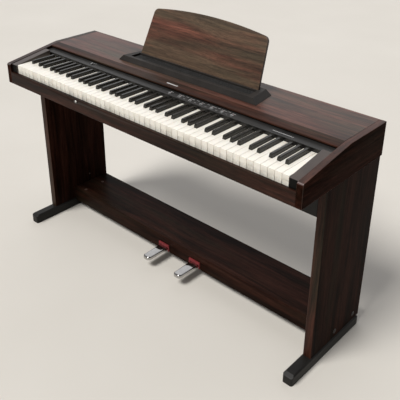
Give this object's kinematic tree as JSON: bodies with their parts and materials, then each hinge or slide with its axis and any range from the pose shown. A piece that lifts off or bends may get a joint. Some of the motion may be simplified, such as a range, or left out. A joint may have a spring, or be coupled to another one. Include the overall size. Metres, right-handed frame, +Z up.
{
  "type": "digital piano on stand",
  "caption": "Home digital piano with full keyboard, sloping cheeks, music rest, two pedals and a flat-pack wooden stand.",
  "frame": {"origin": "on the floor at the middle of the instrument's box", "axes": "+X along the keyboard towards the treble end, +Z up, -Y towards the player"},
  "size_m": [1.3338, 0.4212, 0.936],
  "materials": {
    "rosewood": "dark rosewood-pattern laminate, satin, grain along the length",
    "black_wood": "black paint on board, satin",
    "black_plastic": "moulded, fine grain",
    "white_key": "polished ivory white",
    "black_key": "polished black",
    "chrome": "polished",
    "steel": "zinc plated",
    "felt_red": "wool felt",
    "circuit": "circuit board lacquer",
    "rubber": "silicone rubber strip",
    "clear_lens": "clear moulded lens",
    "board": "raw particle board",
    "button_grey": "moulded grey",
    "silver": "satin bar"
  },
  "bodies": {
    "root": {"badge_bar": "silver", "body_brackets": "steel", "bottom_board": "board", "cheek_blocks": "black_plastic", "control_panel": "black_plastic", "foot_left": "black_wood", "foot_right": "black_wood", "front_rail": "rosewood", "hand_screws": "steel", "key_chassis": "black_plastic", "key_contact_board": "rubber", "key_pivot_rod": "steel", "key_stop_felt": "felt_red", "leg_left": "rosewood", "leg_right": "rosewood", "main_circuit_board": "circuit", "music_rest_tray": "black_plastic", "panel_circuit_board": "circuit", "pedal_beam_front": "rosewood", "pedal_beam_top": "rosewood", "pedal_felts": "felt_red", "pedal_housing": "steel", "power_indicator": "clear_lens", "rear_panel": "rosewood", "rear_sockets": "steel", "side_panel_left": "rosewood", "side_panel_right": "rosewood", "speakers": "black_plastic", "stand_apron": "black_wood", "stand_bolts": "steel", "top_panel": "rosewood"},
    "key_a4": {"key_a4": "white_key"},
    "key_b4": {"key_b4": "white_key"},
    "key_c4": {"key_c4": "white_key"},
    "key_d4": {"key_d4": "white_key"},
    "key_e4": {"key_e4": "white_key"},
    "key_f4": {"key_f4": "white_key"},
    "key_g4": {"key_g4": "white_key"},
    "white_keys_bass": {"white_keys_bass": "white_key"},
    "white_keys_tenor": {"white_keys_tenor": "white_key"},
    "white_keys_top": {"white_keys_top": "white_key"},
    "white_keys_treble": {"white_keys_treble": "white_key"},
    "black_keys_high": {"black_keys_high": "black_key"},
    "black_keys_low": {"black_keys_low": "black_key"},
    "key_a_sharp4": {"key_a_sharp4": "black_key"},
    "key_c_sharp4": {"key_c_sharp4": "black_key"},
    "key_d_sharp4": {"key_d_sharp4": "black_key"},
    "key_f_sharp4": {"key_f_sharp4": "black_key"},
    "key_g_sharp4": {"key_g_sharp4": "black_key"},
    "demo_button": {"demo_button": "button_grey"},
    "metronome_button": {"metronome_button": "button_grey"},
    "organ_button": {"organ_button": "button_grey"},
    "piano_button": {"piano_button": "button_grey"},
    "power_button": {"power_button": "button_grey"},
    "record_button": {"record_button": "button_grey"},
    "strings_button": {"strings_button": "button_grey"},
    "volume_slider": {"volume_slider": "button_grey"},
    "music_rest": {"music_rest": "rosewood"},
    "soft_pedal": {"soft_pedal": "chrome"},
    "damper_pedal": {"damper_pedal": "chrome"}
  },
  "joints": [
    {"name": "key_a4_press", "type": "hinge", "parent": "root", "child": "key_a4", "pos_m": [0, 0.0126, 0.699], "axis": [1, 0, 0], "range_deg": [0, 2.7], "stiffness_Nm_per_rad": 0.5, "springref_deg": -13.75},
    {"name": "key_b4_press", "type": "hinge", "parent": "root", "child": "key_b4", "pos_m": [0, 0.0126, 0.699], "axis": [1, 0, 0], "range_deg": [0, 2.7], "stiffness_Nm_per_rad": 0.5, "springref_deg": -13.75},
    {"name": "key_c4_press", "type": "hinge", "parent": "root", "child": "key_c4", "pos_m": [0, 0.0126, 0.699], "axis": [1, 0, 0], "range_deg": [0, 2.7], "stiffness_Nm_per_rad": 0.5, "springref_deg": -13.75},
    {"name": "key_d4_press", "type": "hinge", "parent": "root", "child": "key_d4", "pos_m": [0, 0.0126, 0.699], "axis": [1, 0, 0], "range_deg": [0, 2.7], "stiffness_Nm_per_rad": 0.5, "springref_deg": -13.75},
    {"name": "key_e4_press", "type": "hinge", "parent": "root", "child": "key_e4", "pos_m": [0, 0.0126, 0.699], "axis": [1, 0, 0], "range_deg": [0, 2.7], "stiffness_Nm_per_rad": 0.5, "springref_deg": -13.75},
    {"name": "key_f4_press", "type": "hinge", "parent": "root", "child": "key_f4", "pos_m": [0, 0.0126, 0.699], "axis": [1, 0, 0], "range_deg": [0, 2.7], "stiffness_Nm_per_rad": 0.5, "springref_deg": -13.75},
    {"name": "key_g4_press", "type": "hinge", "parent": "root", "child": "key_g4", "pos_m": [0, 0.0126, 0.699], "axis": [1, 0, 0], "range_deg": [0, 2.7], "stiffness_Nm_per_rad": 0.5, "springref_deg": -13.75},
    {"name": "white_keys_bass_press", "type": "hinge", "parent": "root", "child": "white_keys_bass", "pos_m": [0, 0.0126, 0.699], "axis": [1, 0, 0], "range_deg": [0, 2.7], "stiffness_Nm_per_rad": 4.5, "springref_deg": -13.75},
    {"name": "white_keys_tenor_press", "type": "hinge", "parent": "root", "child": "white_keys_tenor", "pos_m": [0, 0.0126, 0.699], "axis": [1, 0, 0], "range_deg": [0, 2.7], "stiffness_Nm_per_rad": 7, "springref_deg": -13.75},
    {"name": "white_keys_top_press", "type": "hinge", "parent": "root", "child": "white_keys_top", "pos_m": [0, 0.0126, 0.699], "axis": [1, 0, 0], "range_deg": [0, 2.7], "stiffness_Nm_per_rad": 4, "springref_deg": -13.75},
    {"name": "white_keys_treble_press", "type": "hinge", "parent": "root", "child": "white_keys_treble", "pos_m": [0, 0.0126, 0.699], "axis": [1, 0, 0], "range_deg": [0, 2.7], "stiffness_Nm_per_rad": 7, "springref_deg": -13.75},
    {"name": "black_keys_high_press", "type": "hinge", "parent": "root", "child": "black_keys_high", "pos_m": [0, 0.0126, 0.699], "axis": [1, 0, 0], "range_deg": [0, 3.3], "stiffness_Nm_per_rad": 7.5, "springref_deg": -13.75},
    {"name": "black_keys_low_press", "type": "hinge", "parent": "root", "child": "black_keys_low", "pos_m": [0, 0.0126, 0.699], "axis": [1, 0, 0], "range_deg": [0, 3.3], "stiffness_Nm_per_rad": 8, "springref_deg": -13.75},
    {"name": "key_a_sharp4_press", "type": "hinge", "parent": "root", "child": "key_a_sharp4", "pos_m": [0, 0.0126, 0.699], "axis": [1, 0, 0], "range_deg": [0, 3.3], "stiffness_Nm_per_rad": 0.5, "springref_deg": -13.75},
    {"name": "key_c_sharp4_press", "type": "hinge", "parent": "root", "child": "key_c_sharp4", "pos_m": [0, 0.0126, 0.699], "axis": [1, 0, 0], "range_deg": [0, 3.3], "stiffness_Nm_per_rad": 0.5, "springref_deg": -13.75},
    {"name": "key_d_sharp4_press", "type": "hinge", "parent": "root", "child": "key_d_sharp4", "pos_m": [0, 0.0126, 0.699], "axis": [1, 0, 0], "range_deg": [0, 3.3], "stiffness_Nm_per_rad": 0.5, "springref_deg": -13.75},
    {"name": "key_f_sharp4_press", "type": "hinge", "parent": "root", "child": "key_f_sharp4", "pos_m": [0, 0.0126, 0.699], "axis": [1, 0, 0], "range_deg": [0, 3.3], "stiffness_Nm_per_rad": 0.5, "springref_deg": -13.75},
    {"name": "key_g_sharp4_press", "type": "hinge", "parent": "root", "child": "key_g_sharp4", "pos_m": [0, 0.0126, 0.699], "axis": [1, 0, 0], "range_deg": [0, 3.3], "stiffness_Nm_per_rad": 0.5, "springref_deg": -13.75},
    {"name": "demo_button_press", "type": "slide", "parent": "root", "child": "demo_button", "axis": [0, 0.0651, -0.9979], "range_m": [0, 0.0006], "stiffness_N_per_m": 400, "springref_m": -0.002},
    {"name": "metronome_button_press", "type": "slide", "parent": "root", "child": "metronome_button", "axis": [0, 0.0651, -0.9979], "range_m": [0, 0.0006], "stiffness_N_per_m": 400, "springref_m": -0.002},
    {"name": "organ_button_press", "type": "slide", "parent": "root", "child": "organ_button", "axis": [0, 0.0651, -0.9979], "range_m": [0, 0.0006], "stiffness_N_per_m": 400, "springref_m": -0.002},
    {"name": "piano_button_press", "type": "slide", "parent": "root", "child": "piano_button", "axis": [0, 0.0651, -0.9979], "range_m": [0, 0.0006], "stiffness_N_per_m": 400, "springref_m": -0.002},
    {"name": "power_button_press", "type": "slide", "parent": "root", "child": "power_button", "axis": [0, 0.0651, -0.9979], "range_m": [0, 0.0006], "stiffness_N_per_m": 400, "springref_m": -0.002},
    {"name": "record_button_press", "type": "slide", "parent": "root", "child": "record_button", "axis": [0, 0.0651, -0.9979], "range_m": [0, 0.0006], "stiffness_N_per_m": 400, "springref_m": -0.002},
    {"name": "strings_button_press", "type": "slide", "parent": "root", "child": "strings_button", "axis": [0, 0.0651, -0.9979], "range_m": [0, 0.0006], "stiffness_N_per_m": 400, "springref_m": -0.002},
    {"name": "volume_slide", "type": "slide", "parent": "root", "child": "volume_slider", "axis": [1, 0, 0], "range_m": [-0.009, 0.009]},
    {"name": "music_rest_lift", "type": "slide", "parent": "root", "child": "music_rest", "axis": [0, 0.3746, 0.9272], "range_m": [0, 0.03]},
    {"name": "soft_pedal_press", "type": "hinge", "parent": "root", "child": "soft_pedal", "pos_m": [0, 0.1256, 0.046], "axis": [1, 0, 0], "range_deg": [0, 4.4], "stiffness_Nm_per_rad": 20, "springref_deg": -3.44},
    {"name": "damper_pedal_press", "type": "hinge", "parent": "root", "child": "damper_pedal", "pos_m": [0, 0.1256, 0.046], "axis": [1, 0, 0], "range_deg": [0, 4.4], "stiffness_Nm_per_rad": 20, "springref_deg": -3.44}
  ]
}
